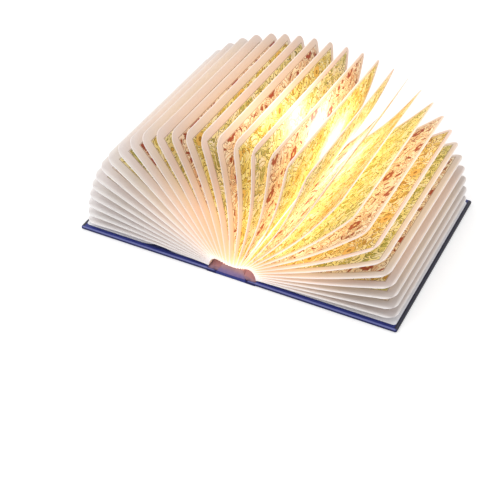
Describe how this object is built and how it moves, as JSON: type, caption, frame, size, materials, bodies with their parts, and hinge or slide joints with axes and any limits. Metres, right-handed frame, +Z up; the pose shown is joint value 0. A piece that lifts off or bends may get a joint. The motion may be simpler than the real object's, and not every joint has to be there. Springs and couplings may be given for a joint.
{
  "type": "folding book lamp",
  "caption": "Hardback case that opens flat and fans rounded paper leaves over a light bar on its spine; the two covers fold shut round the leaves like a book.",
  "frame": {"origin": "on the table under the middle of the spine, with the book lying open and flat", "axes": "+X from the front cover to the back cover, +Y along the spine towards the head of the book, +Z up out of the open book"},
  "size_m": [0.279, 0.18, 0.126],
  "materials": {
    "leatherette": "embossed navy leatherette with a soft gloss",
    "hinge_lining": "thin navy leatherette",
    "grey_board": "pressed grey board",
    "endpaper": "smooth navy paper",
    "leaf_paper": "printed translucent spun paper, lit from the fold",
    "white_paper": "plain white paper",
    "foam_tape": "double-sided foam tape",
    "bar_plastic": "fine-textured navy plastic",
    "diffuser": "milky frosted plastic",
    "white_board": "white solder mask",
    "diode": "warm phosphor",
    "cell_foil": "pouch foil",
    "green_board": "green solder mask",
    "socket_steel": "tin-plated steel",
    "magnet": "nickel-plated"
  },
  "bodies": {
    "spine": {"spine_board": "grey_board", "spine_leather": "leatherette", "front_hinge": "leatherette", "back_hinge": "leatherette", "front_hinge_lining": "hinge_lining", "back_hinge_lining": "hinge_lining", "front_pleat_liner": "white_paper", "back_pleat_liner": "white_paper", "bar_tape": "foam_tape", "bar_housing": "bar_plastic", "tail_cap": "bar_plastic", "head_cap": "bar_plastic", "diffuser": "diffuser", "led_board": "white_board", "leds": "diode", "battery": "cell_foil", "control_board": "green_board", "charge_port": "socket_steel"},
    "front_cover": {"front_board": "grey_board", "front_leather": "leatherette", "front_endpaper": "endpaper", "front_paste_strip": "white_paper", "front_magnets": "magnet"},
    "back_cover": {"back_board": "grey_board", "back_leather": "leatherette", "back_endpaper": "endpaper", "back_paste_strip": "white_paper", "back_magnets": "magnet"},
    "leaf_01_body": {"leaf_01": "leaf_paper"},
    "leaf_02_body": {"leaf_02": "leaf_paper"},
    "leaf_03_body": {"leaf_03": "leaf_paper"},
    "leaf_04_body": {"leaf_04": "leaf_paper"},
    "leaf_05_body": {"leaf_05": "leaf_paper"},
    "leaf_06_body": {"leaf_06": "leaf_paper"},
    "leaf_07_body": {"leaf_07": "leaf_paper"},
    "leaf_08_body": {"leaf_08": "leaf_paper"},
    "leaf_09_body": {"leaf_09": "leaf_paper"},
    "leaf_10_body": {"leaf_10": "leaf_paper"},
    "leaf_11_body": {"leaf_11": "leaf_paper"},
    "leaf_12_body": {"leaf_12": "leaf_paper"},
    "leaf_13_body": {"leaf_13": "leaf_paper"},
    "leaf_14_body": {"leaf_14": "leaf_paper"},
    "leaf_15_body": {"leaf_15": "leaf_paper"},
    "leaf_16_body": {"leaf_16": "leaf_paper"},
    "leaf_17_body": {"leaf_17": "leaf_paper"},
    "leaf_18_body": {"leaf_18": "leaf_paper"},
    "leaf_19_body": {"leaf_19": "leaf_paper"},
    "leaf_20_body": {"leaf_20": "leaf_paper"},
    "leaf_21_body": {"leaf_21": "leaf_paper"},
    "leaf_22_body": {"leaf_22": "leaf_paper"},
    "leaf_23_body": {"leaf_23": "leaf_paper"},
    "leaf_24_body": {"leaf_24": "leaf_paper"},
    "leaf_25_body": {"leaf_25": "leaf_paper"},
    "leaf_26_body": {"leaf_26": "leaf_paper"},
    "leaf_27_body": {"leaf_27": "leaf_paper"},
    "leaf_28_body": {"leaf_28": "leaf_paper"},
    "leaf_29_body": {"leaf_29": "leaf_paper"},
    "leaf_30_body": {"leaf_30": "leaf_paper"},
    "leaf_31_body": {"leaf_31": "leaf_paper"},
    "leaf_32_body": {"leaf_32": "leaf_paper"}
  },
  "joints": [
    {"name": "left_cover_hinge", "type": "hinge", "parent": "spine", "child": "front_cover", "pos_m": [-0.013, 0, 0], "axis": [0, 1, 0], "range_deg": [0, 90], "deforming": ["front_hinge", "front_hinge_lining", "front_pleat_liner"]},
    {"name": "right_cover_hinge", "type": "hinge", "parent": "spine", "child": "back_cover", "pos_m": [0.013, 0, 0], "axis": [0, -1, 0], "range_deg": [0, 90], "deforming": ["back_hinge", "back_hinge_lining", "back_pleat_liner"]},
    {"name": "leaf_01_fold", "type": "hinge", "parent": "spine", "child": "leaf_01_body", "pos_m": [-0.01217, 0, 0.00122], "axis": [0, 1, 0], "range_deg": [0, 86.47]},
    {"name": "leaf_02_fold", "type": "hinge", "parent": "spine", "child": "leaf_02_body", "pos_m": [-0.01213, 0, 0.00098], "axis": [0, 1, 0], "range_deg": [0, 82.51]},
    {"name": "leaf_03_fold", "type": "hinge", "parent": "spine", "child": "leaf_03_body", "pos_m": [-0.01212, 0, 0.00071], "axis": [0, 1, 0], "range_deg": [0, 78.18]},
    {"name": "leaf_04_fold", "type": "hinge", "parent": "spine", "child": "leaf_04_body", "pos_m": [-0.01218, 0, 0.00045], "axis": [0, 1, 0], "range_deg": [0, 73.52]},
    {"name": "leaf_05_fold", "type": "hinge", "parent": "spine", "child": "leaf_05_body", "pos_m": [-0.01233, 0, 0.00019], "axis": [0, 1, 0], "range_deg": [0, 68.59]},
    {"name": "leaf_06_fold", "type": "hinge", "parent": "spine", "child": "leaf_06_body", "pos_m": [-0.01256, 0, -0.00009], "axis": [0, 1, 0], "range_deg": [0, 63.41]},
    {"name": "leaf_07_fold", "type": "hinge", "parent": "spine", "child": "leaf_07_body", "pos_m": [-0.01281, 0, -0.00044], "axis": [0, 1, 0], "range_deg": [0, 58.03]},
    {"name": "leaf_08_fold", "type": "hinge", "parent": "spine", "child": "leaf_08_body", "pos_m": [-0.01303, 0, -0.00091], "axis": [0, 1, 0], "range_deg": [0, 52.49]},
    {"name": "leaf_09_fold", "type": "hinge", "parent": "spine", "child": "leaf_09_body", "pos_m": [-0.0131, 0, -0.00153], "axis": [0, 1, 0], "range_deg": [0, 46.8]},
    {"name": "leaf_10_fold", "type": "hinge", "parent": "spine", "child": "leaf_10_body", "pos_m": [-0.01292, 0, -0.00233], "axis": [0, 1, 0], "range_deg": [0, 41.01]},
    {"name": "leaf_11_fold", "type": "hinge", "parent": "spine", "child": "leaf_11_body", "pos_m": [-0.01237, 0, -0.00333], "axis": [0, 1, 0], "range_deg": [0, 35.12]},
    {"name": "leaf_12_fold", "type": "hinge", "parent": "spine", "child": "leaf_12_body", "pos_m": [-0.01136, 0, -0.00451], "axis": [0, 1, 0], "range_deg": [0, 29.17]},
    {"name": "leaf_13_fold", "type": "hinge", "parent": "spine", "child": "leaf_13_body", "pos_m": [-0.00984, 0, -0.00586], "axis": [0, 1, 0], "range_deg": [0, 23.17]},
    {"name": "leaf_14_fold", "type": "hinge", "parent": "spine", "child": "leaf_14_body", "pos_m": [-0.00782, 0, -0.00741], "axis": [0, 1, 0], "range_deg": [0, 17.12]},
    {"name": "leaf_15_fold", "type": "hinge", "parent": "spine", "child": "leaf_15_body", "pos_m": [-0.00534, 0, -0.00936], "axis": [0, 1, 0], "range_deg": [0, 11.05]},
    {"name": "leaf_16_fold", "type": "hinge", "parent": "spine", "child": "leaf_16_body", "pos_m": [-0.00249, 0, -0.01297], "axis": [0, 1, 0], "range_deg": [0, 4.96]},
    {"name": "leaf_17_fold", "type": "hinge", "parent": "spine", "child": "leaf_17_body", "pos_m": [0.00074, 0, -0.00571], "axis": [0, -1, 0], "range_deg": [0, 1.17]},
    {"name": "leaf_18_fold", "type": "hinge", "parent": "spine", "child": "leaf_18_body", "pos_m": [0.0038, 0, -0.00822], "axis": [0, -1, 0], "range_deg": [0, 7.29]},
    {"name": "leaf_19_fold", "type": "hinge", "parent": "spine", "child": "leaf_19_body", "pos_m": [0.00654, 0, -0.00695], "axis": [0, -1, 0], "range_deg": [0, 13.43]},
    {"name": "leaf_20_fold", "type": "hinge", "parent": "spine", "child": "leaf_20_body", "pos_m": [0.00887, 0, -0.00571], "axis": [0, -1, 0], "range_deg": [0, 19.57]},
    {"name": "leaf_21_fold", "type": "hinge", "parent": "spine", "child": "leaf_21_body", "pos_m": [0.01072, 0, -0.0045], "axis": [0, -1, 0], "range_deg": [0, 25.71]},
    {"name": "leaf_22_fold", "type": "hinge", "parent": "spine", "child": "leaf_22_body", "pos_m": [0.01204, 0, -0.00337], "axis": [0, -1, 0], "range_deg": [0, 31.83]},
    {"name": "leaf_23_fold", "type": "hinge", "parent": "spine", "child": "leaf_23_body", "pos_m": [0.01284, 0, -0.00237], "axis": [0, -1, 0], "range_deg": [0, 37.91]},
    {"name": "leaf_24_fold", "type": "hinge", "parent": "spine", "child": "leaf_24_body", "pos_m": [0.0132, 0, -0.00153], "axis": [0, -1, 0], "range_deg": [0, 43.93]},
    {"name": "leaf_25_fold", "type": "hinge", "parent": "spine", "child": "leaf_25_body", "pos_m": [0.01323, 0, -0.00087], "axis": [0, -1, 0], "range_deg": [0, 49.87]},
    {"name": "leaf_26_fold", "type": "hinge", "parent": "spine", "child": "leaf_26_body", "pos_m": [0.01305, 0, -0.00038], "axis": [0, -1, 0], "range_deg": [0, 55.69]},
    {"name": "leaf_27_fold", "type": "hinge", "parent": "spine", "child": "leaf_27_body", "pos_m": [0.01277, 0, -0.00002], "axis": [0, -1, 0], "range_deg": [0, 61.36]},
    {"name": "leaf_28_fold", "type": "hinge", "parent": "spine", "child": "leaf_28_body", "pos_m": [0.0125, 0, 0.00026], "axis": [0, -1, 0], "range_deg": [0, 66.85]},
    {"name": "leaf_29_fold", "type": "hinge", "parent": "spine", "child": "leaf_29_body", "pos_m": [0.0123, 0, 0.0005], "axis": [0, -1, 0], "range_deg": [0, 72.11]},
    {"name": "leaf_30_fold", "type": "hinge", "parent": "spine", "child": "leaf_30_body", "pos_m": [0.0122, 0, 0.00074], "axis": [0, -1, 0], "range_deg": [0, 77.11]},
    {"name": "leaf_31_fold", "type": "hinge", "parent": "spine", "child": "leaf_31_body", "pos_m": [0.01218, 0, 0.00099], "axis": [0, -1, 0], "range_deg": [0, 81.79]},
    {"name": "leaf_32_fold", "type": "hinge", "parent": "spine", "child": "leaf_32_body", "pos_m": [0.0122, 0, 0.00123], "axis": [0, -1, 0], "range_deg": [0, 86.11]}
  ],
  "couplings": [
    {"joint": "leaf_01_fold", "follows": "left_cover_hinge", "ratio": 0.96068},
    {"joint": "leaf_02_fold", "follows": "left_cover_hinge", "ratio": 0.91667},
    {"joint": "leaf_03_fold", "follows": "left_cover_hinge", "ratio": 0.86854},
    {"joint": "leaf_04_fold", "follows": "left_cover_hinge", "ratio": 0.8168},
    {"joint": "leaf_05_fold", "follows": "left_cover_hinge", "ratio": 0.76196},
    {"joint": "leaf_06_fold", "follows": "left_cover_hinge", "ratio": 0.70446},
    {"joint": "leaf_07_fold", "follows": "left_cover_hinge", "ratio": 0.64471},
    {"joint": "leaf_08_fold", "follows": "left_cover_hinge", "ratio": 0.58309},
    {"joint": "leaf_09_fold", "follows": "left_cover_hinge", "ratio": 0.51992},
    {"joint": "leaf_10_fold", "follows": "left_cover_hinge", "ratio": 0.45552},
    {"joint": "leaf_11_fold", "follows": "left_cover_hinge", "ratio": 0.39013},
    {"joint": "leaf_12_fold", "follows": "left_cover_hinge", "ratio": 0.32399},
    {"joint": "leaf_13_fold", "follows": "left_cover_hinge", "ratio": 0.25728},
    {"joint": "leaf_14_fold", "follows": "left_cover_hinge", "ratio": 0.19015},
    {"joint": "leaf_15_fold", "follows": "left_cover_hinge", "ratio": 0.12271},
    {"joint": "leaf_16_fold", "follows": "left_cover_hinge", "ratio": 0.055026},
    {"joint": "leaf_17_fold", "follows": "right_cover_hinge", "ratio": 0.012852},
    {"joint": "leaf_18_fold", "follows": "right_cover_hinge", "ratio": 0.080914},
    {"joint": "leaf_19_fold", "follows": "right_cover_hinge", "ratio": 0.14912},
    {"joint": "leaf_20_fold", "follows": "right_cover_hinge", "ratio": 0.21738},
    {"joint": "leaf_21_fold", "follows": "right_cover_hinge", "ratio": 0.28559},
    {"joint": "leaf_22_fold", "follows": "right_cover_hinge", "ratio": 0.35357},
    {"joint": "leaf_23_fold", "follows": "right_cover_hinge", "ratio": 0.42113},
    {"joint": "leaf_24_fold", "follows": "right_cover_hinge", "ratio": 0.48801},
    {"joint": "leaf_25_fold", "follows": "right_cover_hinge", "ratio": 0.55395},
    {"joint": "leaf_26_fold", "follows": "right_cover_hinge", "ratio": 0.61861},
    {"joint": "leaf_27_fold", "follows": "right_cover_hinge", "ratio": 0.68163},
    {"joint": "leaf_28_fold", "follows": "right_cover_hinge", "ratio": 0.74262},
    {"joint": "leaf_29_fold", "follows": "right_cover_hinge", "ratio": 0.80111},
    {"joint": "leaf_30_fold", "follows": "right_cover_hinge", "ratio": 0.85664},
    {"joint": "leaf_31_fold", "follows": "right_cover_hinge", "ratio": 0.90868},
    {"joint": "leaf_32_fold", "follows": "right_cover_hinge", "ratio": 0.95667}
  ]
}
